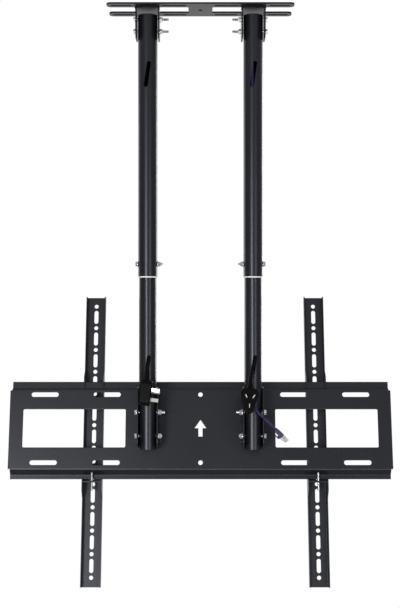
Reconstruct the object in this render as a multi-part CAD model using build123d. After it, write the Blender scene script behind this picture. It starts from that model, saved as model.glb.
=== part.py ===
from build123d import *
import os
from math import radians, tan

# The mount hangs from its ceiling face at Z 0. X runs along the television, +Y points to the screen side.
# All lengths are in millimetres and angles in degrees.

# Ceiling plate: two fixing bars joined by a web.
ceiling_length = 400.0
ceiling_depth = 100.0
ceiling_sheet = 3.5
bar_depth = 28.0
bar_corner = 10.0
web_width = 52.0
web_hole_d = 10.0
fixing_slot_w = 8.5
outer_slot_length = 46.0
outer_slot_margin = 8.0
inner_slot_length = 52.0
inner_slot_margin = 4.0

# Poles: two outer tubes with inner tubes that telescope in them.
pole_spacing = 228.0
outer_tube_d = 42.0
outer_tube_wall = 1.2
outer_tube_top = 16.0
outer_tube_length = 564.0
inner_tube_d = 38.0
inner_tube_wall = 1.8
inner_tube_top = 330.0
inner_tube_length = 622.6

# Slanted cable slots in the faces of the tubes.
cable_slot_length = 56.0
cable_slot_w = 8.6
cable_slot_slant = 8.0
upper_slot_drop = 129.5
lower_slot_drop = 447.0

# Guide bush of nylon in the mouth of each outer tube.
bush_lip = 2.4
bush_depth = 16.0
bush_fit = 0.05
slide_fit = 0.08

# Brackets that hold the poles under the ceiling plate.
bracket_sheet = 3.0
bracket_bend = 3.0
pole_bracket_side_clear = 1.5
pole_bracket_depth = 60.0
pole_bracket_height = 65.0
pole_bracket_corner = 16.0
pole_bolt_drop = 24.0
pole_bolt_pitch = 26.0

# Height adjustment: a bolt above the mouth of the outer tube, in a slot of the inner tube.
height_bolt_rise = 27.0
height_slot_clear = 0.4
height_up = 150.0
height_down = 120.0
height_slot_spare = 5.0

# Tilt brackets and the frame that turns about the pivot bolts.
pivot_rise = 78.6
tilt_angle = 12.0
tilt_least = 0.0
tilt_most = 15.0
tilt_slot_spare = 1.0
tilt_bolt_pitch = 51.0
tilt_bracket_side_clear = 0.8
tilt_bracket_above = 54.0
tilt_bracket_below = 74.0
tilt_bracket_front = 18.0
tilt_bracket_corner = 12.0
pivot_fit = 0.06
side_play = 0.2

# Television plate, in the tilted frame: its rear face stands this far from the pivot line.
plate_offset = 45.0
plate_sheet = 2.5
plate_bend = 2.0
plate_width = 842.0
plate_top = 58.0
plate_bottom = 119.0
top_ledge = 8.0
top_lip_height = 15.5
bottom_jog = 11.0
bottom_lip_height = 10.5
lip_inset = 4.0
window_inner_x = 165.0
window_margin = 30.0
window_height = 83.7
window_mid = -30.2
window_corner = 3.0
plate_slot_length = 60.0
plate_slot_w = 10.0
plate_slot_inner_margin = 11.5
plate_slot_outer_margin = 47.0
plate_hole_d = 10.0
plate_row_pitch = 149.3
plate_row_mid = -30.6
arrow_length = 36.4
arrow_head_length = 18.1
arrow_head_w = 25.7
arrow_shaft_w = 9.0

# Screen arms: folded channels that hook over the lips of the television plate.
arm_left_x = -237.0
arm_right_x = 257.0
arm_width = 44.0
arm_sheet = 2.0
arm_bend = 1.5
arm_face = 78.0
arm_flange = 16.0
arm_pitch = 50.0
arm_pitches = 12
arm_end = 20.0
arm_mid = -50.5
arm_hole_d = 9.0
arm_slot_length = 30.0
hook_thickness = 6.2
hook_reach = 11.5
hook_back = 10.0
hook_slope = 16.0
lip_clear = 0.4
shelf_depth = 24.0
tab_thickness = 3.0
tab_drop = 4.0

# Lock screw in the tab of each arm.
lock_screw_d = 5.0
lock_screw_length = 40.0
lock_screw_offset = 3.0
lock_tip_clear = 0.6
lock_screw_fit = 0.08
drive_slot_w = 1.2
drive_slot_depth = 1.6

# Fasteners: hexagon bolts, plain washers and nuts of one thread size.
bolt_d = 6.0
bolt_hole_clear = 0.25
bolt_head_af = 10.0
bolt_head_height = 4.0
washer_d = 12.5
washer_thickness = 1.4
nut_height = 5.0
thread_clear = 0.05
pole_bolt_end = 13.5
height_bolt_end = 5.0
pivot_bolt_end = 7.5
tilt_bolt_end = 1.5

# Leads that run down inside the poles, leave by the lower cable slots and end in plugs.
mains_lead_d = 6.4
network_lead_d = 6.2
lead_end_gap = 0.6
lead_wall_gap = 0.3
mains_left_route = [(-109.9, -9.8, -726.0), (-110.4, -10.5, -750.0), (-112.3, -22.5, -770.0)]
mains_left_lean = 20.0
mains_left_roll = 2.0
mains_left_tail = 11.5
mains_right_route = [(120.2, -9.8, -730.0), (120.2, -11.0, -752.0), (108.2, -30.0, -784.0)]
mains_right_lean = 18.0
mains_right_roll = 4.0
mains_right_tail = 12.5
network_route = [(110.6, -8.8, -756.0), (113.9, -9.5, -774.0), (110.4, -22.3, -800.0), (108.6, -23.2, -835.0),
                 (117.0, -27.0, -866.0), (139.0, -27.5, -886.5), (161.0, -23.5, -908.5)]
upper_run_top = 18.0
upper_run_bottom = 175.0
upper_run_turn = 8.0

# Mains plug: moulded body with a ribbed boot and three flat blades.
boot_length = 25.0
boot_top_d = 9.4
boot_root_d = 13.0
boot_ribs = 5
boot_groove = 1.1
plug_length = 53.0
plug_shoulder_x = 9.5
plug_shoulder_r = 9.5
plug_nose_r = 11.0
plug_thickness = 26.0
plug_taper = 3.5
plug_kick = 6.0
plug_edge = 3.0
blade_w = 7.6
blade_thickness = 2.0
blade_length = 17.0
blade_spacing = 16.0
blade_slant = 30.0
blade_row = 19.0
earth_row = 39.0

# Network plug: clear modular plug with a soft boot behind it.
network_plug_length = 15.0
network_plug_w = 11.6
network_plug_h = 8.2
network_boot_length = 20.0
network_boot_wall = 0.9
network_neck_length = 7.0
network_corner = 1.0
guard_gap = 3.0
guard_thickness = 2.4
guard_length = 15.0

pole_x = pole_spacing / 2
outer_tube_id = outer_tube_d - 2 * outer_tube_wall
inner_tube_id = inner_tube_d - 2 * inner_tube_wall
outer_tube_end = -outer_tube_top - outer_tube_length
inner_tube_end = -inner_tube_top - inner_tube_length
bolt_hole_d = bolt_d + 2 * bolt_hole_clear
pivot_z = inner_tube_end + pivot_rise
height_bolt_z = outer_tube_end + height_bolt_rise
lower_slot_z = -inner_tube_top - lower_slot_drop
tilted = Location((0, 0, pivot_z), (-tilt_angle, 0, 0))
plug_root = Pos(0, 0, -boot_length) * Rot(plug_kick, 0, 0)


def folded(points, bend, thickness, plane, width):
    """Sheet folded along a line of inner points, thickened to the left of the line and drawn out to its width."""
    line = FilletPolyline(*points, radius=bend)
    outline = offset(line, thickness, side=Side.LEFT)
    return extrude(plane * make_face(outline.edges()), width / 2, both=True)


def slot_x(length, width, depth):
    """Upright slot with round ends, cut along X."""
    return extrude(Plane.YZ * Rot(0, 0, 90) * SlotOverall(length, width), depth / 2, both=True)


def hole_x(diameter, depth):
    """Round hole cut along X."""
    return Rot(0, 90, 0) * Cylinder(diameter / 2, depth)


def at_both_poles(shape):
    """The same shape on the left pole and, turned about its own pole, on the right one."""
    return Compound([Pos(-pole_x) * shape, Pos(pole_x) * Rot(0, 0, 180) * shape])


def hex_bolt(seat, grip_end):
    """Hexagon bolt along X, its head outside the seat at -X and its end at grip_end."""
    head = extrude(Plane.YZ * RegularPolygon(bolt_head_af / 2, 6, major_radius=False), bolt_head_height)
    shank = Rot(0, 90, 0) * Cylinder(bolt_d / 2, grip_end + seat, align=(Align.CENTER, Align.CENTER, Align.MIN))
    return Pos(-seat - bolt_head_height) * head + Pos(-seat) * shank


def hex_nut(seat):
    """Hexagon nut along X that starts at its seat."""
    profile = RegularPolygon(bolt_head_af / 2, 6, major_radius=False) - Circle(bolt_d / 2 + thread_clear)
    return Pos(seat) * extrude(Plane.YZ * profile, nut_height)


def washer_pair(seat):
    """Plain washers along X on both sides of what a bolt clamps."""
    ring = Circle(washer_d / 2) - Circle(bolt_hole_d / 2)
    disc = extrude(Plane.YZ * ring, washer_thickness)
    return [Pos(-seat - washer_thickness) * disc, Pos(seat) * disc]


def fastener_set(name, clamp_half_width, end_length, heights):
    """Bolts, washers and nuts at the given heights of both poles, each kind in one group."""
    seat = clamp_half_width + washer_thickness
    bolts, washers, nuts = [], [], []
    for z in heights:
        bolts += at_both_poles(Pos(0, 0, z) * hex_bolt(seat, seat + nut_height + end_length)).solids()
        nuts += at_both_poles(Pos(0, 0, z) * hex_nut(seat)).solids()
        for disc in washer_pair(clamp_half_width):
            washers += at_both_poles(Pos(0, 0, z) * disc).solids()
    parts[name + "_bolts"] = Compound(bolts)
    parts[name + "_washers"] = Compound(washers)
    parts[name + "_nuts"] = Compound(nuts)


def cable_slot(tube_d, z):
    """Slanted slot in the face of a tube that looks away from the screen."""
    slot = Plane.XZ * Rot(0, 0, 90 - cable_slot_slant) * SlotOverall(cable_slot_length, cable_slot_w)
    return Pos(0, 0, z) * extrude(slot, tube_d)


def ceiling_plate():
    """Laser-cut plate of two long bars with round ends, joined by a web with a centre hole."""
    bar_y = (ceiling_depth - bar_depth) / 2
    outer_slot_x = (ceiling_length - outer_slot_length) / 2 - outer_slot_margin
    inner_slot_x = (web_width + inner_slot_length) / 2 + inner_slot_margin
    outline = Rectangle(web_width, ceiling_depth - bar_depth)
    cuts = Circle(web_hole_d / 2)
    for side in (-1, 1):
        outline += Pos(0, side * bar_y) * RectangleRounded(ceiling_length, bar_depth, bar_corner)
        for x, length in ((outer_slot_x, outer_slot_length), (inner_slot_x, inner_slot_length)):
            for end in (-1, 1):
                cuts += Pos(end * x, side * bar_y) * SlotOverall(length, fixing_slot_w)
    return extrude(outline - cuts, -ceiling_sheet)


def pole_bracket():
    """Inverted U of folded sheet whose cheeks clamp the head of an outer tube."""
    inner = outer_tube_d / 2 + pole_bracket_side_clear
    top = -ceiling_sheet - bracket_sheet
    foot = -ceiling_sheet - pole_bracket_height
    channel = folded([(inner, foot), (inner, top), (-inner, top), (-inner, foot)][::-1],
                     bracket_bend, bracket_sheet, Plane.XZ, pole_bracket_depth)
    side = Rectangle(pole_bracket_depth, pole_bracket_height, align=(Align.CENTER, Align.MAX))
    side = fillet(side.vertices().sort_by(Axis.Y)[:2], pole_bracket_corner)
    bracket = channel & Pos(0, 0, -ceiling_sheet) * extrude(Plane.YZ * side, outer_tube_d, both=True)
    for z in pole_bolt_heights:
        bracket -= Pos(0, 0, z) * hole_x(bolt_hole_d, 2 * outer_tube_d)
    return bracket


def tube(diameter, inside, length):
    """Plain tube that hangs from Z 0."""
    ring = Circle(diameter / 2) - Circle(inside / 2)
    return extrude(ring, -length)


def outer_tube():
    """Outer tube with bolt holes at both ends and a cable slot below its bracket."""
    body = Pos(0, 0, -outer_tube_top) * tube(outer_tube_d, outer_tube_id, outer_tube_length)
    for z in pole_bolt_heights + [height_bolt_z]:
        body -= Pos(0, 0, z) * hole_x(bolt_hole_d, 2 * outer_tube_d)
    return body - cable_slot(outer_tube_d, -outer_tube_top - upper_slot_drop)


def guide_bush():
    """Nylon bush with a lip under the outer tube and a sleeve up its bore."""
    bore = inner_tube_d / 2 + slide_fit
    lip = extrude(Circle(outer_tube_d / 2) - Circle(bore), -bush_lip)
    sleeve = extrude(Circle(outer_tube_id / 2 - bush_fit) - Circle(bore), bush_depth)
    return Pos(0, 0, outer_tube_end) * (lip + sleeve)


def inner_tube():
    """Inner tube with long slots for the height bolt, a cable slot and holes for the pivot and tilt bolts."""
    body = Pos(0, 0, -inner_tube_top) * tube(inner_tube_d, inner_tube_id, inner_tube_length)
    slot_w = bolt_d + 2 * height_slot_clear
    travel = height_up + height_down
    run = slot_x(travel + slot_w + 2 * height_slot_spare, slot_w, 2 * inner_tube_d)
    body -= Pos(0, 0, height_bolt_z - (height_up - height_down) / 2) * run
    for z in (pivot_z, pivot_z - tilt_bolt_pitch):
        body -= Pos(0, 0, z) * hole_x(bolt_hole_d, 2 * inner_tube_d)
    return body - cable_slot(inner_tube_d, lower_slot_z)


def tilt_bracket():
    """U of folded sheet on the television plate, with pivot holes and arc slots for the tilt bolt."""
    inner = tilt_bracket_half - bracket_sheet
    root = plate_offset - bracket_sheet
    height = tilt_bracket_above + tilt_bracket_below
    middle = (tilt_bracket_above - tilt_bracket_below) / 2
    channel = folded([(-inner, -tilt_bracket_front), (-inner, root), (inner, root), (inner, -tilt_bracket_front)],
                     bracket_bend, bracket_sheet, Plane.XY.offset(middle), height)
    side = Rectangle(plate_offset + tilt_bracket_front, height, align=(Align.MIN, Align.CENTER))
    side = fillet(side.vertices().sort_by(Axis.X)[:2], tilt_bracket_corner)
    side = Pos(-tilt_bracket_front, middle) * side
    bracket = channel & extrude(Plane.YZ * side, 2 * inner, both=True)
    bracket -= hole_x(bolt_d + 2 * pivot_fit, 4 * inner)
    start = 270 + tilt_least - tilt_slot_spare
    sweep_angle = tilt_most - tilt_least + 2 * tilt_slot_spare
    arc = CenterArc((0, 0), tilt_bolt_pitch, start, sweep_angle)
    return bracket - extrude(Plane.YZ * SlotArc(arc, bolt_hole_d), 2 * inner, both=True)


def arrow():
    """Plain arrow that points up the plate."""
    tip = arrow_length / 2
    base = tip - arrow_head_length
    head, shaft = arrow_head_w / 2, arrow_shaft_w / 2
    return make_face(Polyline((0, tip), (-head, base), (-shaft, base), (-shaft, -tip), (shaft, -tip),
                              (shaft, base), (head, base), close=True))


def tv_plate():
    """Folded plate with a hooked top lip, a stepped bottom lip, windows, slots and an arrow."""
    back = plate_offset + plate_sheet
    line = [(back + bottom_jog, -plate_bottom - bottom_jog - bottom_lip_height),
            (back + bottom_jog, -plate_bottom - bottom_jog),
            (back, -plate_bottom),
            (back, plate_top - plate_sheet),
            (back + top_ledge, plate_top - plate_sheet),
            (back + top_ledge, plate_top + top_lip_height)]
    plate = folded(line, plate_bend, plate_sheet, Plane.YZ, plate_width)
    for side in (-1, 1):
        edge = Pos(side * (plate_width / 2 - lip_inset), back)
        beyond = (Align.MIN if side > 0 else Align.MAX, Align.CENTER, Align.MIN)
        above = Box(2 * lip_inset, 4 * top_ledge, 2 * top_lip_height, align=beyond)
        below = Box(2 * lip_inset, 4 * bottom_jog, 4 * bottom_jog, align=beyond)
        plate -= edge * Pos(0, 0, plate_top - plate_sheet - plate_bend) * above
        plate -= edge * Pos(0, 0, -plate_bottom - 4 * bottom_jog) * below
    window_width = plate_width / 2 - window_margin - window_inner_x
    window_x = window_inner_x + window_width / 2
    slot_inner_x = window_inner_x + plate_slot_inner_margin + plate_slot_length / 2
    slot_outer_x = (plate_width - plate_slot_length) / 2 - plate_slot_outer_margin
    cuts = Pos(0, window_mid) * arrow()
    for side in (-1, 1):
        cuts += Pos(side * window_x, window_mid) * RectangleRounded(window_width, window_height, window_corner)
        row = plate_row_mid + side * plate_row_pitch / 2
        cuts += Pos(0, row) * Circle(plate_hole_d / 2)
        for x in (slot_inner_x, slot_outer_x):
            for end in (-1, 1):
                cuts += Pos(end * x, row) * SlotOverall(plate_slot_length, plate_slot_w)
    return plate - Pos(0, back) * extrude(Plane.XZ * cuts, 2 * plate_sheet, both=True)


def arm_side():
    """Side of an arm: flanges with a hook over the top lip and a shelf under the bottom lip."""
    rear = arm_face - arm_flange
    hook_top = lip_top + lip_clear + hook_back
    hook_front = top_lip_rear - lip_clear - hook_thickness
    shelf = lip_bottom - lip_clear
    line = [(arm_face, arm_top), (rear, arm_top),
            (rear, hook_top + hook_slope), (hook_front, hook_top),
            (hook_front, lip_top - hook_reach), (top_lip_rear - lip_clear, lip_top - hook_reach),
            (top_lip_rear - lip_clear, lip_top + lip_clear), (top_lip_front + lip_clear, lip_top + lip_clear),
            (top_lip_front + lip_clear, plate_top - hook_slope), (rear, plate_top - hook_slope - top_ledge),
            (rear, -plate_bottom), (bottom_lip_front + lip_clear, -plate_bottom - bottom_jog),
            (bottom_lip_front + lip_clear, shelf), (plate_offset, shelf),
            (plate_offset, shelf - shelf_depth), (rear, shelf - shelf_depth - hook_slope),
            (rear, arm_bottom), (arm_face, arm_bottom)]
    return make_face(Polyline(*line, close=True))


def arm_openings():
    """Round holes at each pitch with slots between them, and a middle group set off the lattice."""
    cuts = Sketch()
    for u in (0, 1, 2, 3, 4, 5.4, 6.4, 7, 8, 9, 10, 11, 12):
        cuts += Pos(0, arm_top - arm_end - u * arm_pitch) * Circle(arm_hole_d / 2)
    for u in (0.5, 1.5, 2.5, 3.5, 4.9, 5.9, 7.5, 8.5, 9.5, 10.5, 11.5):
        slot = Rot(0, 0, 90) * SlotOverall(arm_slot_length, arm_hole_d)
        cuts += Pos(0, arm_top - arm_end - u * arm_pitch) * slot
    return cuts


def screen_arm():
    """Channel with its web to the screen, hooked flanges and a cross tab for the lock screw."""
    inner = arm_width / 2 - arm_sheet
    root = arm_face - arm_sheet
    middle = (arm_top + arm_bottom) / 2
    channel = folded([(-inner, 0), (-inner, root), (inner, root), (inner, 0)],
                     arm_bend, arm_sheet, Plane.XY.offset(middle), arm_top - arm_bottom)
    arm = channel & extrude(Plane.YZ * arm_side(), arm_width, both=True)
    arm -= Pos(0, arm_face) * extrude(Plane.XZ * arm_openings(), 2 * arm_sheet, both=True)
    tab = Box(2 * inner, bottom_lip_front - plate_offset, tab_thickness,
              align=(Align.CENTER, Align.MIN, Align.MAX))
    tab -= Pos(0, lock_screw_offset) * Cylinder(lock_screw_d / 2 + lock_screw_fit, 3 * tab_thickness)
    return arm + Pos(0, plate_offset, tab_top) * tab


def lock_screw():
    """Headless screw with a driver slot at its lower end."""
    body = Cylinder(lock_screw_d / 2, lock_screw_length, align=(Align.CENTER, Align.CENTER, Align.MAX))
    body -= Pos(0, 0, -lock_screw_length) * Box(2 * lock_screw_d, drive_slot_w, 2 * drive_slot_depth)
    return Pos(0, plate_offset + lock_screw_offset, lock_tip) * body


def lead(points, diameter):
    """Round lead along a hand-laid route, with each corner as wide as its two runs allow."""
    route = [Vector(*point) for point in points]
    radii = []
    for before, corner, after in zip(route, route[1:], route[2:]):
        first, second = corner - before, after - corner
        radii.append(0.45 * min(first.length, second.length) / tan(radians(first.get_angle(second) / 2)))
    path = FilletPolyline(*route, radius=radii)
    print("lead", round(path.length, 1), "mm long, bend radii", [round(radius, 1) for radius in radii])
    return sweep(Plane(path @ 0, z_dir=path % 0) * Circle(diameter / 2), path=path)


def straight_run(x, y, top, bottom, diameter):
    """Upright stretch of a lead inside a pole."""
    return Pos(x, y, top) * extrude(Circle(diameter / 2), bottom - top)


def mains_plug():
    """Plug that hangs from its boot: ribbed strain relief above a shield-shaped moulding."""
    rib = boot_length / (2 * boot_ribs + 1)
    profile = Polyline((0, 0), (boot_top_d / 2, 0), (boot_root_d / 2, -boot_length), (0, -boot_length), close=True)
    boot = revolve(Plane.XZ * make_face(profile), Axis.Z)
    for i in range(boot_ribs):
        z = -(2 * i + 1.5) * rib
        outside = boot_top_d + (boot_root_d - boot_top_d) * -z / boot_length
        ring = Circle(boot_root_d) - Circle(outside / 2 - boot_groove)
        boot -= Pos(0, 0, z) * extrude(ring, rib / 2, both=True)
    nose = Pos(0, plug_nose_r - plug_length) * Circle(plug_nose_r)
    corners = nose.edges()
    for side in (-1, 1):
        corners += (Pos(side * plug_shoulder_x, -plug_shoulder_r) * Circle(plug_shoulder_r)).edges()
    face, back = -plug_thickness / 2, plug_thickness / 2
    flank = make_face(Polyline((face, 0), (back, 0), (back - plug_taper, -plug_length), (face, -plug_length),
                               close=True))
    body = extrude(Plane.XZ * make_hull(corners), plug_thickness, both=True)
    body &= extrude(Plane.YZ * flank, plug_length, both=True)
    sides = body.faces().sort_by(Axis.Y)
    return boot + plug_root * fillet(sides[0].edges() + sides[-1].edges(), plug_edge)


def plug_blades():
    """Two slanted line blades and an upright earth blade, standing out of the face of the plug."""
    blade = extrude(Plane.XZ * Rectangle(blade_thickness, blade_w), blade_length)
    face = plug_root * Pos(0, -plug_thickness / 2)
    blades = [face * Pos(0, 0, -earth_row) * blade]
    for side in (-1, 1):
        blades.append(face * Pos(side * blade_spacing / 2, 0, -blade_row) * Rot(0, side * blade_slant, 0) * blade)
    return Compound(blades)


def network_boot():
    """Soft boot on the end of the network lead, with a finger that guards the latch of the plug."""
    neck, half = network_lead_d / 2 + network_boot_wall, network_plug_h / 2 + network_boot_wall
    inner, outer = half + guard_gap, half + guard_gap + guard_thickness
    end, tip = network_boot_length, network_boot_length - guard_length
    root = end - 2 * guard_thickness
    outline = Polyline((neck, 0), (-neck, 0), (-half, network_neck_length), (-half, end), (half, end),
                       (outer, end - guard_thickness), (outer, tip), (inner, tip), (inner, root), (half, root),
                       (half, network_neck_length), close=True)
    side = make_face(outline)
    return extrude(Plane.XZ * fillet(side.vertices(), network_corner), network_plug_w / 2, both=True)


def network_plug():
    """Clear block of the modular plug, ahead of its boot."""
    profile = RectangleRounded(network_plug_h, network_plug_w, network_corner)
    return Pos(0, 0, network_boot_length) * extrude(profile, network_plug_length)


pole_bolt_heights = [-pole_bolt_drop, -pole_bolt_drop - pole_bolt_pitch]
tilt_bracket_half = inner_tube_d / 2 + tilt_bracket_side_clear + bracket_sheet
top_lip_rear = plate_offset + top_ledge
top_lip_front = top_lip_rear + plate_sheet
bottom_lip_front = plate_offset + plate_sheet + bottom_jog
lip_top = plate_top + top_lip_height
lip_bottom = -plate_bottom - bottom_jog - bottom_lip_height
arm_top = arm_mid + arm_pitches * arm_pitch / 2 + arm_end
arm_bottom = arm_mid - arm_pitches * arm_pitch / 2 - arm_end
tab_top = lip_bottom - tab_drop
jog_reach = lock_screw_offset + lock_screw_d / 2 + (2 ** 0.5 - 1) * plate_sheet
lock_tip = -plate_bottom - jog_reach - lock_tip_clear

parts = {"ceiling_plate": ceiling_plate()}
for side, x in (("left", -pole_x), ("right", pole_x)):
    parts["pole_bracket_" + side] = Pos(x) * pole_bracket()
    parts["outer_tube_" + side] = Pos(x) * outer_tube()
    parts["guide_bush_" + side] = Pos(x) * guide_bush()
    parts["inner_tube_" + side] = Pos(x) * inner_tube()
    parts["tilt_bracket_" + side] = tilted * Pos(x) * tilt_bracket()
for side, x in (("left", arm_left_x), ("right", arm_right_x)):
    parts["screen_arm_" + side] = tilted * Pos(x) * screen_arm()
    parts["lock_screw_" + side] = tilted * Pos(x) * lock_screw()
parts["tv_plate"] = tilted * tv_plate()

fastener_set("pole", outer_tube_d / 2 + pole_bracket_side_clear + bracket_sheet, pole_bolt_end, pole_bolt_heights)
fastener_set("height", outer_tube_d / 2 + bush_fit, height_bolt_end, [height_bolt_z])
fastener_set("pivot", tilt_bracket_half + side_play, pivot_bolt_end, [pivot_z])
fastener_set("tilt", tilt_bracket_half + side_play, tilt_bolt_end, [pivot_z - tilt_bolt_pitch])

mains_runs = []
mains_runs_upper = []
wall_run = outer_tube_id / 2 - lead_wall_gap
for side, route, lean, roll, tail, turn, x in (
        ("left", mains_left_route, mains_left_lean, mains_left_roll, mains_left_tail, 90, -pole_x),
        ("right", mains_right_route, mains_right_lean, mains_right_roll, mains_right_tail, 0, pole_x)):
    start = route[0]
    end = Pos(*route[-1]) * Rot(-lean, 0, 0) * Rot(0, roll, 0) * Pos(0, 0, -tail)
    parts["mains_lead_" + side] = lead(route + [end.position], mains_lead_d)
    parts["mains_plug_" + side] = end * Rot(0, 0, turn) * mains_plug()
    parts["plug_blades_" + side] = end * Rot(0, 0, turn) * plug_blades()
    mains_runs.append(straight_run(start[0], start[1], -inner_tube_top, start[2] + lead_end_gap, mains_lead_d))
    mains_runs_upper.append(straight_run(x, wall_run - mains_lead_d / 2, -upper_run_top, -upper_run_bottom,
                                         mains_lead_d))
parts["mains_runs"] = Compound(mains_runs)
parts["mains_runs_upper"] = Compound(mains_runs_upper)

parts["network_lead"] = lead(network_route, network_lead_d)
network_start, network_tip = network_route[0], Vector(*network_route[-1])
network_axis = Plane(network_tip, z_dir=network_tip - Vector(*network_route[-2])).location
parts["network_boot"] = network_axis * network_boot()
parts["network_plug"] = network_axis * network_plug()
parts["network_run"] = straight_run(network_start[0], network_start[1], -inner_tube_top,
                                    network_start[2] + lead_end_gap, network_lead_d)
upper_spot = Vector(0, network_lead_d / 2 - wall_run).rotate(Axis.Z, -upper_run_turn)
parts["network_run_upper"] = straight_run(pole_x + upper_spot.X, upper_spot.Y, -upper_run_top, -upper_run_bottom,
                                          network_lead_d)

os.makedirs("parts", exist_ok=True)
for name, shape in parts.items():
    export_step(shape, "parts/" + name + ".step")
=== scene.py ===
from math import pi, radians, sqrt, tau

import bmesh
import bpy
from mathutils import Matrix, Vector


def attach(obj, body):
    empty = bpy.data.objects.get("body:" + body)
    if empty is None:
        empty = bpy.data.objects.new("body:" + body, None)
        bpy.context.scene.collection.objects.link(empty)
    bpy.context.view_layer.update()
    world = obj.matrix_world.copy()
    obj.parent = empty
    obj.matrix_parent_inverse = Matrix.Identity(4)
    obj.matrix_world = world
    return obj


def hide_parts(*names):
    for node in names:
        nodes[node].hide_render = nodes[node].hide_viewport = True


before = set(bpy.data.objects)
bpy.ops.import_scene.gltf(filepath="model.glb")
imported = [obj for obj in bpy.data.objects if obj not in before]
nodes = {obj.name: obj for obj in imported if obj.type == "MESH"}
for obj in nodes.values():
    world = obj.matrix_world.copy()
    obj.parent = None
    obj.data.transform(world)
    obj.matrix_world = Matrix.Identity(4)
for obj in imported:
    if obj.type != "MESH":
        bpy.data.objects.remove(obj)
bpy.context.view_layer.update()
scene = bpy.context.scene
scene.view_settings.view_transform = "Standard"

# Camera: stands level on the pole side, a little over two metres away and half way down the mount,
# and looks straight along +Y at the backs of the plate and the screen arms.
camera_data = bpy.data.cameras.new("camera")
camera_data.lens = 62.64
camera_data.sensor_width = 36
camera_data.shift_y = -0.0049
camera = bpy.data.objects.new("camera", camera_data)
camera.location = (-0.001, -2.29, -0.633)
camera.rotation_euler = (radians(90), 0, 0)
scene.collection.objects.link(camera)
scene.camera = camera


# Studio: a floor a room's height below the ceiling, a white backdrop behind the mount and a dim
# room in front. Tall strip lamps stand far off left and right of the camera, with a low wide one
# between them that lights the bends of the plate and two more behind the mount.
class Shade:
    """A socket among one material's nodes. Sums, differences and products add Math nodes."""

    def __init__(self, tree, socket=None):
        self.tree = tree
        self.socket = socket

    def node(self, kind, settings=None, values=None, out=0):
        """Adds a node, sets it up, fills or links its sockets and gives back the chosen output."""
        made = self.tree.nodes.new("ShaderNode" + kind)
        for name, value in (settings or {}).items():
            setattr(made, name, value)
        for name, value in (values or {}).items():
            if isinstance(value, Shade):
                self.tree.links.new(value.socket, made.inputs[name])
            else:
                made.inputs[name].default_value = value
        return Shade(self.tree, made.outputs[out] if made.outputs else None)

    def other(self, out):
        """Another output of the same node."""
        return Shade(self.tree, self.socket.node.outputs[out])

    def math(self, operation, first, second):
        return self.node("Math", {"operation": operation}, {0: first, 1: second})

    def __add__(self, other):
        return self.math("ADD", self, other)

    def __radd__(self, other):
        return self.math("ADD", other, self)

    def __sub__(self, other):
        return self.math("SUBTRACT", self, other)

    def __rsub__(self, other):
        return self.math("SUBTRACT", other, self)

    def __mul__(self, other):
        return self.math("MULTIPLY", self, other)

    def __rmul__(self, other):
        return self.math("MULTIPLY", other, self)


def finish(name):
    """A new material with no nodes yet, and the shade that adds them."""
    material = bpy.data.materials.new(name)
    material.use_nodes = True
    material.node_tree.nodes.clear()
    return material, Shade(material.node_tree)


def ease(shade, value, start, end, low, high):
    """Low up to start, high from end on, and a smooth step between them."""
    return shade.node("MapRange", {"interpolation_type": "SMOOTHSTEP"},
                      {"Value": value, "From Min": start, "From Max": end,
                       "To Min": low, "To Max": high})


def seen_rays(shade, mirrored):
    """1 for what is seen directly or through clear plastic, the given share in a reflection."""
    camera_ray = shade.node("LightPath", out="Is Camera Ray")
    through = camera_ray.other("Is Transmission Ray")
    glossy = camera_ray.other("Is Glossy Ray") * mirrored
    return shade.math("MAXIMUM", camera_ray, shade.math("MAXIMUM", glossy, through))


def solid(name, bm, material):
    """Makes an object of a finished bmesh, in the object's own frame."""
    mesh = bpy.data.meshes.new(name)
    bm.to_mesh(mesh)
    bm.free()
    mesh.materials.append(material)
    obj = bpy.data.objects.new(name, mesh)
    scene.collection.objects.link(obj)
    return obj


world = bpy.data.worlds.new("surround")
world.use_nodes = True
world.node_tree.nodes.clear()
scene.world = world
surround = Shade(world.node_tree)
direction = surround.node("TexCoord", out="Generated")
away = surround.node("SeparateXYZ", {}, {0: direction}, "Y")
backdrop = ease(surround, away, 0.1, 0.6, 0, 1)
room = ease(surround, away.other("Z"), -0.03, 0.4, 0.19, 0.57)
level = room + seen_rays(surround, backdrop) * (1 - room)
ambient = surround.node("Background", {}, {"Color": (1, 1, 1, 1), "Strength": level})
surround.node("OutputWorld", {}, {"Surface": ambient})

floor_z = -2.6
floor_reach = 7
floor_finish, shade = finish("floor")
place = shade.node("TexCoord", out="Object")
far = shade.node("VectorMath", {"operation": "LENGTH"}, {0: place}, "Value")
near = ease(shade, far, 0.5, 1.6, 0.15, 0)
behind = ease(shade, shade.node("SeparateXYZ", {}, {0: place}, "Y"), 0.1, 1.2, 0.1, 1)
paper = shade.node("BsdfDiffuse", {}, {"Color": (0.3, 0.3, 0.3, 1)})
white = shade.node("Emission", {}, {"Color": (1, 1, 1, 1), "Strength": 1})
bright = seen_rays(shade, behind) * (1 - near)
shown = shade.node("MixShader", {}, {0: bright, 1: paper, 2: white})
shade.node("OutputMaterial", {}, {"Surface": shown})
bm = bmesh.new()
bmesh.ops.create_grid(bm, x_segments=1, y_segments=1, size=floor_reach)
floor = solid("floor", bm, floor_finish)
floor.location.z = floor_z

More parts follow.
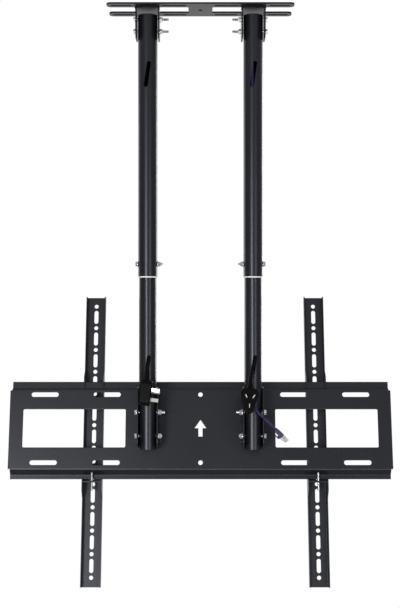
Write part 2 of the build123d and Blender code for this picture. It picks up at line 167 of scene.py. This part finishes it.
for name, spot, width, height, power in (
        ("strip_lamp", (-1.95, -6.0, -1.22), 1.05, 2.65, 172),
        ("fill_lamp", (3.3, -5.6, -1.2), 1.6, 2.65, 58),
        ("low_lamp", (0.2, -3.2, -2.2), 2.5, 0.5, 44),
        ("back_lamp", (1.7, 2.2, -0.4), 0.5, 1.8, 26),
        ("back_fill_lamp", (-1.9, 2.0, -0.5), 0.8, 1.6, 9)):
    lamp_data = bpy.data.lights.new(name, "AREA")
    lamp_data.shape = "RECTANGLE"
    lamp_data.size = width
    lamp_data.size_y = height
    lamp_data.energy = power
    lamp = bpy.data.objects.new(name, lamp_data)
    lamp.location = spot
    inwards = Vector((-spot[0], -spot[1], 0))
    lamp.rotation_euler = inwards.to_track_quat("-Z", "Y").to_euler()
    scene.collection.objects.link(lamp)


# Ceiling plate: two long bars with slots for the ceiling anchors, joined by a web, cut from thick
# sheet. Like all the steel here it has a satin black powder coat with a fine orange-peel grain.
def powder_coat(name, tone, roughness, gloss, grain, rounding):
    """Satin black powder coat: a tone with faint clouds, uneven gloss, fine grain, soft edges."""
    material, shade = finish(name)
    place = shade.node("TexCoord", out="Object")
    cloud = shade.node("TexNoise", {}, {"Vector": place, "Scale": 7, "Detail": 4,
                                        "Roughness": 0.6})
    peel = shade.node("TexNoise", {}, {"Vector": place, "Scale": 900, "Detail": 2,
                                       "Roughness": 0.55})
    light = tuple(1.2 * c for c in tone) + (1,)
    dark = tuple(0.8 * c for c in tone) + (1,)
    colour = shade.node("Mix", {"data_type": "RGBA"}, {0: cloud, 6: dark, 7: light}, 2)
    edge = shade.node("Bevel", {"samples": 8}, {"Radius": rounding})
    bump = shade.node("Bump", {}, {"Strength": grain, "Distance": 0.0002, "Height": peel,
                                   "Normal": edge})
    body = shade.node("BsdfPrincipled", {}, {
        "Base Color": colour, "Normal": bump, "Specular IOR Level": gloss,
        "Specular Tint": (0.86, 0.90, 1, 1),
        "Roughness": roughness - 0.06 + 0.09 * cloud + 0.03 * peel})
    shade.node("OutputMaterial", {}, {"Surface": body})
    return material


def dress(material, *names):
    """Gives CAD pieces their finish."""
    for name in names:
        mesh = nodes[name].data
        mesh.materials.clear()
        mesh.materials.append(material)


ceiling_coat = powder_coat("ceiling_coat", tone=(0.0120, 0.0124, 0.0152), roughness=0.34,
                           gloss=0.20, grain=0.2, rounding=0.001)
dress(ceiling_coat, "ceiling_plate")


# Pole brackets: inverted U brackets of folded sheet, welded under the ceiling plate.
# Short beads fill the grooves beside their bends, and the coat covers the welds.
def weld_bead(bm, start, end, width):
    """Row of overlapping ripples, as a torch lays them along a joint."""
    run = Vector(end) - Vector(start)
    ripples = round(run.length / (0.45 * width))
    turn = run.to_track_quat("Z", "X").to_matrix().to_4x4()
    size = Matrix.Diagonal((width / 2, width / 2, 0.4 * width, 1))
    for i in range(ripples + 1):
        spot = Matrix.Translation(Vector(start) + run * (i / ripples))
        bmesh.ops.create_uvsphere(bm, u_segments=12, v_segments=8, radius=1,
                                  matrix=spot @ turn @ size)


dress(ceiling_coat, "pole_bracket_left", "pole_bracket_right")
pole_x = 0.114
bead_width = 0.0042
groove_x = 0.0248
groove_z = -0.0052
bead_half = 0.008
bead_y = 0.018
bm = bmesh.new()
for pole in (-pole_x, pole_x):
    for x in (pole - groove_x, pole + groove_x):
        for y in (-bead_y, bead_y):
            weld_bead(bm, (x, y - bead_half, groove_z), (x, y + bead_half, groove_z), bead_width)
welds = solid("pole_bracket_welds", bm, ceiling_coat)
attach(welds, "ceiling_frame")

# Outer tubes: round welded tube with a slanted cable slot near the head, coated after cutting.
# The tube takes a smoother and glossier coat than the sheet.
tube_coat = powder_coat("tube_coat", tone=(0.0085, 0.0088, 0.0110), roughness=0.30,
                        gloss=0.42, grain=0.03, rounding=0.0004)
dress(tube_coat, "outer_tube_left", "outer_tube_right")


# Guide bushes: turned rings of white nylon pressed into the mouths of the outer tubes.
# Only their lips show, as a white line round the joint.
def speckled(name, dark, light, scale, detail, roughness, spread, constants=None):
    """A finish whose tone and gloss are both broken up by one fine noise."""
    material, shade = finish(name)
    place = shade.node("TexCoord", out="Object")
    speck = shade.node("TexNoise", {}, {"Vector": place, "Scale": scale, "Detail": detail})
    colour = shade.node("Mix", {"data_type": "RGBA"},
                        {0: speck, 6: (*dark, 1), 7: (*light, 1)}, 2)
    body = shade.node("BsdfPrincipled", {}, {"Base Color": colour,
                                             "Roughness": roughness + spread * speck,
                                             **(constants or {})})
    shade.node("OutputMaterial", {}, {"Surface": body})
    return material


nylon = speckled("white_nylon", (0.78, 0.78, 0.76), (0.88, 0.88, 0.87), scale=160, detail=3,
                 roughness=0.42, spread=0.12)
dress(nylon, "guide_bush_left", "guide_bush_right")

# Inner tubes: narrower tube that slides in the outer one, with a cable slot and a long slot for
# the height bolt. Same smooth coat as the outer tube.
dress(tube_coat, "inner_tube_left", "inner_tube_right")


# Washers: plain stamped rings under every bolt head and nut, zinc plated with a fine spangle.
# The same plating is painted in two tones: darker on the poles as painted shade, brighter at the
# tilt brackets as painted light.
def plated(name, dark, light):
    """Zinc plating whose spangle breaks up its tone and its shine."""
    return speckled(name, dark, light, scale=420, detail=3, roughness=0.2, spread=0.2,
                    constants={"Metallic": 1})


# Two copies of one zinc: the darker one is painted shade, the brighter one painted light.
zinc_painted_shade = plated("zinc_painted_shade", (0.46, 0.47, 0.49), (0.62, 0.63, 0.64))
zinc_painted_light = plated("zinc_painted_light", (0.76, 0.77, 0.79), (0.92, 0.93, 0.94))
dress(zinc_painted_shade, "pole_washers", "height_washers")
dress(zinc_painted_light, "pivot_washers", "tilt_washers")


# Bolts: hexagon bolts through the poles, with chamfered heads, plain shanks and rolled threads.
# They are zinc plated, point towards each other and carry nuts on the inner sides of the poles.
def add_thread(bm, start, end, radius, pitch):
    """Core and helical ridge of a rolled thread along Z, with a tapered point at its end."""
    steps = 16
    core = radius - 0.55 * pitch
    point = 0.8 * pitch
    middle = Matrix.Translation((0, 0, (start + end - point) / 2))
    bmesh.ops.create_cone(bm, cap_ends=True, segments=steps, radius1=core, radius2=core,
                          depth=end - point - start, matrix=middle)
    bmesh.ops.create_cone(bm, cap_ends=True, segments=steps, radius1=core, radius2=0.8 * core,
                          depth=point, matrix=Matrix.Translation((0, 0, end - point / 2)))
    turns = int((end - point - start) / pitch) - 1
    root = 0.95 * core
    flank = ((root, 0), (radius, 0.4), (radius, 0.5), (root, 0.9))
    section = bm.faces.new([bm.verts.new((r, 0, start + z * pitch)) for r, z in flank])
    bmesh.ops.spin(bm, geom=[section, *section.edges, *section.verts], axis=(0, 0, 1),
                   dvec=(0, 0, pitch / steps), angle=tau * turns, steps=steps * turns,
                   use_merge=False)


def verts_of(geom):
    """The vertices among what a bmesh operator gives back."""
    return [part for part in geom if isinstance(part, bmesh.types.BMVert)]


def set_out(bm, places):
    """Puts a copy of all that the bmesh holds at each place, and turns all faces outwards."""
    first = bm.verts[:] + bm.edges[:] + bm.faces[:]
    for place in places[1:]:
        copied = bmesh.ops.duplicate(bm, geom=first)["geom"]
        bmesh.ops.transform(bm, matrix=place, verts=verts_of(copied))
    bmesh.ops.transform(bm, matrix=places[0], verts=verts_of(first))
    bmesh.ops.recalc_face_normals(bm, faces=bm.faces)


def pole_places(heights):
    """Places on both poles for a piece made along +Z, laid along X and mirrored by a half turn."""
    along = Matrix.Rotation(pi / 2, 4, "Y")
    places = []
    for z in heights:
        places.append(Matrix.Translation((-pole_x, 0, z)) @ along)
        places.append(Matrix.Translation((pole_x, 0, z)) @ Matrix.Rotation(pi, 4, "Z") @ along)
    return places


bolt_r = 0.003
hex_flats = 0.010
hex_r = hex_flats / sqrt(3)
head_height = 0.004
head_chamfer = 0.0009
thread_pitch = 0.001
pivot_z = -0.874
# Pole and height fixings take the zinc painted darker as shade, pivot and tilt fixings the zinc
# painted brighter as light.
fixings = (("pole", "ceiling_frame", zinc_painted_shade, 0.0269, 0.0454, (-0.024, -0.050)),
           ("height", "ceiling_frame", zinc_painted_shade, 0.02245, 0.03245, (-0.553,)),
           ("pivot", "drop_frame", zinc_painted_light, 0.0244, 0.0369, (pivot_z,)),
           ("tilt", "drop_frame", zinc_painted_light, 0.0244, 0.0309, (-0.925,)))
for group, carrier, zinc, seat, end, heights in fixings:
    head_middle = -seat - head_height / 2
    bm = bmesh.new()
    bmesh.ops.create_cone(bm, cap_ends=True, segments=6, radius1=hex_r, radius2=hex_r,
                          depth=head_height, matrix=Matrix.Translation((0, 0, head_middle)))
    corners = [v for v in bm.verts if v.co.z < head_middle]
    bmesh.ops.bevel(bm, geom=corners, offset=head_chamfer, segments=2, profile=0.5,
                    affect="VERTICES", material=-1)
    bmesh.ops.create_cone(bm, cap_ends=True, segments=24, radius1=bolt_r, radius2=bolt_r,
                          depth=2 * seat)
    add_thread(bm, seat - thread_pitch, end, bolt_r, thread_pitch)
    set_out(bm, pole_places(heights))
    bolts = solid(group + "_bolt_set", bm, zinc)
    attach(bolts, carrier)
    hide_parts(group + "_bolts")

# Nuts: hexagon nuts with both faces chamfered at the corners, screwed against the inner washers.
# They are plated like their bolts, whose threaded ends stand out of them.
nut_height = 0.005
nut_chamfer = 0.0008
nut_bore_r = 1.02 * bolt_r
for group, carrier, zinc, seat, _, heights in fixings:
    bm = bmesh.new()
    bmesh.ops.create_circle(bm, segments=6, radius=hex_r)
    bmesh.ops.subdivide_edges(bm, edges=bm.edges[:], cuts=3)
    bmesh.ops.create_circle(bm, segments=24, radius=nut_bore_r)
    ring = bmesh.ops.bridge_loops(bm, edges=bm.edges[:])["faces"]
    raised = bmesh.ops.extrude_face_region(bm, geom=ring)["geom"]
    bmesh.ops.translate(bm, vec=(0, 0, nut_height), verts=verts_of(raised))
    bmesh.ops.translate(bm, vec=(0, 0, seat), verts=bm.verts[:])
    corners = [v for v in bm.verts if Vector((v.co.x, v.co.y)).length > 0.98 * hex_r]
    bmesh.ops.bevel(bm, geom=corners, offset=nut_chamfer, segments=2, profile=0.5,
                    affect="VERTICES", material=-1)
    set_out(bm, pole_places(heights))
    nuts = solid(group + "_nut_set", bm, zinc)
    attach(nuts, carrier)
    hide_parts(group + "_nuts")

# Tilt brackets: U brackets of folded sheet whose cheeks turn on the pivot bolts.
# Their backs are welded to the television plate with short beads beside the bends.
plate_coat = powder_coat("plate_coat", tone=(0.0080, 0.0083, 0.0104), roughness=0.30,
                         gloss=0.42, grain=0.2, rounding=0.0024)
dress(plate_coat, "tilt_bracket_left", "tilt_bracket_right")
tilt = -12
tilted = Matrix.Translation((0, 0, pivot_z)) @ Matrix.Rotation(radians(tilt), 4, "X")
tilt_groove_x = 0.0218
tilt_groove_y = 0.0432
tilt_bead_half = 0.009
tilt_bead_rows = (-0.060, -0.012, 0.036)
bm = bmesh.new()
for pole in (-pole_x, pole_x):
    for x in (pole - tilt_groove_x, pole + tilt_groove_x):
        for z in tilt_bead_rows:
            weld_bead(bm, (x, tilt_groove_y, z - tilt_bead_half),
                      (x, tilt_groove_y, z + tilt_bead_half), bead_width)
bmesh.ops.transform(bm, matrix=tilted, verts=bm.verts[:])
welds = solid("tilt_bracket_welds", bm, plate_coat)
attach(welds, "screen_frame")

# Television plate: a folded sheet with a hooked top lip, a stepped bottom lip and laser-cut
# openings. It has the same coat as the brackets.
dress(plate_coat, "tv_plate")

# Screen arms: folded channels with a row of holes and slots, hooked over the lips of the plate.
# They have the same kind of coat as the plate, a little rougher.
arm_coat = powder_coat("arm_coat", tone=(0.0085, 0.0088, 0.0110), roughness=0.34,
                       gloss=0.43, grain=0.2, rounding=0.001)
dress(arm_coat, "screen_arm_left", "screen_arm_right")

# Lock screws: headless screws in the tabs of the arms, threaded all along, with a driver slot at
# the lower end. Turned up, they stop the arm from being lifted off the plate.
lock_r = 0.0025
lock_end_r = 0.82 * lock_r
lock_length = 0.040
lock_pitch = 0.0008
lock_y = 0.048
lock_top = -0.126136
slot_depth = 0.0016
slot_width = 0.0012
for side, x in (("left", -0.237), ("right", 0.257)):
    bm = bmesh.new()
    add_thread(bm, slot_depth, lock_length, lock_r, lock_pitch)
    for half in (-1, 1):
        piece = bmesh.ops.create_cone(bm, cap_ends=True, segments=24, radius1=lock_end_r,
                                      radius2=lock_end_r, depth=slot_depth,
                                      matrix=Matrix.Translation((0, 0, slot_depth / 2)))["verts"]
        faces = {f for v in piece for f in v.link_faces}
        edges = {e for v in piece for e in v.link_edges}
        cut = bmesh.ops.bisect_plane(bm, geom=[*piece, *edges, *faces],
                                     plane_co=(0, half * slot_width / 2, 0),
                                     plane_no=(0, half, 0), clear_inner=True)["geom_cut"]
        bmesh.ops.edgeloop_fill(bm, edges=[e for e in cut if isinstance(e, bmesh.types.BMEdge)])
    set_out(bm, [tilted @ Matrix.Translation((x, lock_y, lock_top - lock_length))])
    # The lock screws take the zinc painted brighter as painted light.
    screw = solid("lock_screw_thread_" + side, bm, zinc_painted_light)
    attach(screw, "lock_" + side)
    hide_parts("lock_screw_" + side)


# Mains leads: round black leads that lie in the poles, come out of the lower cable slots and hang
# to their plugs. The sheath is smooth soft plastic.
def lead_curve(name, points, diameter, material):
    """A round lead on a smooth line that follows its route."""
    curve = bpy.data.curves.new(name, "CURVE")
    curve.dimensions = "3D"
    curve.bevel_depth = diameter / 2
    curve.bevel_resolution = 8
    curve.use_fill_caps = True
    spline = curve.splines.new("NURBS")
    spline.points.add(len(points) - 1)
    for point, spot in zip(spline.points, points):
        point.co = (*spot, 1)
    spline.order_u = 3
    spline.use_endpoint_u = True
    spline.resolution_u = 16
    curve.materials.append(material)
    obj = bpy.data.objects.new(name, curve)
    scene.collection.objects.link(obj)
    return obj


def plastic(name, dark, light, scale, roughness, gloss):
    """Plain moulded plastic with a faintly uneven tone and gloss."""
    return speckled(name, dark, light, scale, detail=3, roughness=roughness, spread=0.12,
                    constants={"Specular IOR Level": gloss})


black_dark = (0.002, 0.002, 0.0022)
black_light = (0.0035, 0.0035, 0.0038)
black_sheath = plastic("black_sheath", black_dark, black_light, scale=300, roughness=0.36,
                       gloss=0.05)
dress(black_sheath, "mains_runs", "mains_runs_upper")
mains_d = 0.0064
mains_cords = {}
for side, exit_point, length, route in (
        ("left", (-0.1106, -0.0115, -0.7525), 0.0584,
         ((-0.1099, -0.0098, -0.726), (-0.1104, -0.0105, -0.750),
          (-0.1123, -0.0225, -0.770), (-0.1127, -0.02643, -0.7808))),
        ("right", (0.1183, -0.0140, -0.7571), 0.0730,
         ((0.1202, -0.0098, -0.730), (0.1202, -0.011, -0.752),
          (0.1082, -0.030, -0.784), (0.10733, -0.03385, -0.79586)))):
    lead = lead_curve("mains_cord_" + side, route, mains_d, black_sheath)
    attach(lead, "drop_frame")
    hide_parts("mains_lead_" + side)
    hang = route[-2]
    mains_cords[side] = (lead, exit_point, length, hang)

# Mains plugs: black mouldings with a ribbed boot.
# They are a little smoother than the sheath of the lead.
plug_black = plastic("plug_black", black_dark, black_light, scale=240, roughness=0.30, gloss=0.06)
dress(plug_black, "mains_plug_left", "mains_plug_right")

# Plug blades: three flat strips of plated brass, with their tips rounded so that they find the
# socket. Two slant to the sides and the earth blade stands upright below them.
blade_metal = speckled("blade_metal", (0.72, 0.71, 0.68), (0.85, 0.84, 0.81), scale=500, detail=2,
                       roughness=0.28, spread=0.14, constants={"Metallic": 1})
blade_w = 0.0076
blade_thickness = 0.002
blade_length = 0.017
blade_rounding = 0.0008
blade_spacing = 0.016
blade_slant = 30
blade_row = 0.019
earth_row = 0.039
boot_length = 0.025
plug_kick = 6
plug_face = -0.013
for side, lean, roll, tail, turn in (("left", 20, 2, 0.0115, 90), ("right", 18, 4, 0.0125, 0)):
    lead, exit_point, length, hang = mains_cords[side]
    boot_end = (Matrix.Translation(hang) @ Matrix.Rotation(radians(-lean), 4, "X")
                @ Matrix.Rotation(radians(roll), 4, "Y") @ Matrix.Translation((0, 0, -tail))
                @ Matrix.Rotation(radians(turn), 4, "Z")
                @ Matrix.Translation((0, 0, -boot_length)))
    face = (boot_end @ Matrix.Rotation(radians(plug_kick), 4, "X")
            @ Matrix.Translation((0, plug_face, 0)))
    bm = bmesh.new()
    bmesh.ops.create_cube(bm, size=1, matrix=Matrix.Translation((0, -blade_length / 2, 0))
                          @ Matrix.Diagonal((blade_thickness, blade_length, blade_w, 1)))
    tip = [e for e in bm.edges if all(v.co.y < -blade_length / 2 for v in e.verts)]
    bmesh.ops.bevel(bm, geom=tip, offset=blade_rounding, segments=4, profile=0.5,
                    affect="EDGES", material=-1)
    set_out(bm, [face @ Matrix.Translation((0, 0, -earth_row)),
                 *(face @ Matrix.Translation((way * blade_spacing / 2, 0, -blade_row))
                   @ Matrix.Rotation(radians(way * blade_slant), 4, "Y") for way in (-1, 1))])
    blades = solid("plug_blade_set_" + side, bm, blade_metal)
    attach(blades, "drop_frame")
    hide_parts("plug_blades_" + side)
    nodes["mains_plug_" + side]

# Network lead: thin purple lead that comes out of the right pole's lower slot and swings to its
# clear plug. A soft boot of the same colour ends it, with a finger that guards the plug's latch.
purple_sheath = plastic("purple_sheath", (0.011, 0.0045, 0.042), (0.018, 0.0075, 0.066), scale=260,
                        roughness=0.28, gloss=0.26)
dress(purple_sheath, "network_run", "network_run_upper", "network_boot")
network_d = 0.0062
network_route = ((0.1106, -0.0088, -0.756), (0.1139, -0.0095, -0.774), (0.1104, -0.0223, -0.800),
                 (0.1086, -0.0232, -0.835), (0.117, -0.027, -0.866), (0.139, -0.0275, -0.8865),
                 (0.161, -0.0235, -0.9085))
lead = lead_curve("network_cord", network_route, network_d, purple_sheath)
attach(lead, "drop_frame")
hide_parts("network_lead")

# Network plug: clear modular plug ahead of the boot, with the end of the sheath clamped inside it.
# Eight gilt contacts sit in its upper face, and a springy latch moulded to its nose leans back
# under the boot's finger.
clear_plug = speckled("clear_plug", (0.22, 0.225, 0.25), (0.32, 0.325, 0.35), scale=200, detail=2,
                      roughness=0.12, spread=0.1, constants={"Alpha": 0.65})
dress(clear_plug, "network_plug")
gilt = speckled("gilt_contacts", (0.68, 0.47, 0.14), (0.85, 0.63, 0.25), scale=900, detail=2,
                roughness=0.18, spread=0.12, constants={"Metallic": 1})
lead_end = Vector(network_route[-1])
plug_axis = (lead_end - Vector(network_route[-2])).normalized()
latch_side = Vector((plug_axis.z, 0, -plug_axis.x)).normalized()
plug_turn = Matrix((latch_side, plug_axis.cross(latch_side), plug_axis)).transposed().to_4x4()
plug_frame = Matrix.Translation(lead_end) @ plug_turn


def soften(bm, edges, offset):
    """Rounds edges of a small moulded or stamped piece."""
    bmesh.ops.bevel(bm, geom=edges, offset=offset, segments=2, profile=0.5, affect="EDGES",
                    material=-1)


def plug_piece(name, bm, material):
    """Puts a piece made along the network plug in place, on the body that carries the lead."""
    bmesh.ops.transform(bm, matrix=plug_frame, verts=bm.verts[:])
    piece = solid(name, bm, material)
    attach(piece, "drop_frame")
    return piece


contact_count = 8
contact_pitch = 0.00102
contact_x = -0.0034
contact_z = 0.0315
contact_rounding = 0.0001
contact_size = Matrix.Diagonal((0.0015, 0.00045, 0.006, 1))
bm = bmesh.new()
for i in range(contact_count):
    across = (i - (contact_count - 1) / 2) * contact_pitch
    spot = Matrix.Translation((contact_x, across, contact_z))
    bmesh.ops.create_cube(bm, size=1, matrix=spot @ contact_size)
soften(bm, bm.edges[:], contact_rounding)
contacts = plug_piece("network_contacts", bm, gilt)

moulded_rounding = 0.0003
latch_spot = (0.0056, 0, 0.028)
latch_lean = -11.75
latch_size = Matrix.Diagonal((0.001, 0.006, 0.0126, 1))
latch_place = Matrix.Translation(latch_spot) @ Matrix.Rotation(radians(latch_lean), 4, "Y")
bm = bmesh.new()
bmesh.ops.create_cube(bm, size=1, matrix=latch_place @ latch_size)
soften(bm, bm.edges[:], moulded_rounding)
latch = plug_piece("network_latch", bm, clear_plug)

clamped_length = 0.007
clamped_tip_r = 0.0029
clamped_middle = 0.0235
flattened = Matrix.Translation((0, 0, clamped_middle)) @ Matrix.Diagonal((0.7, 1.15, 1, 1))
bm = bmesh.new()
bmesh.ops.create_cone(bm, cap_ends=True, segments=32, radius1=network_d / 2, radius2=clamped_tip_r,
                      depth=clamped_length, matrix=flattened)
rims = [e for e in bm.edges if len({round(v.co.z, 5) for v in e.verts}) == 1]
soften(bm, rims, moulded_rounding)
clamped = plug_piece("network_sheath_end", bm, purple_sheath)
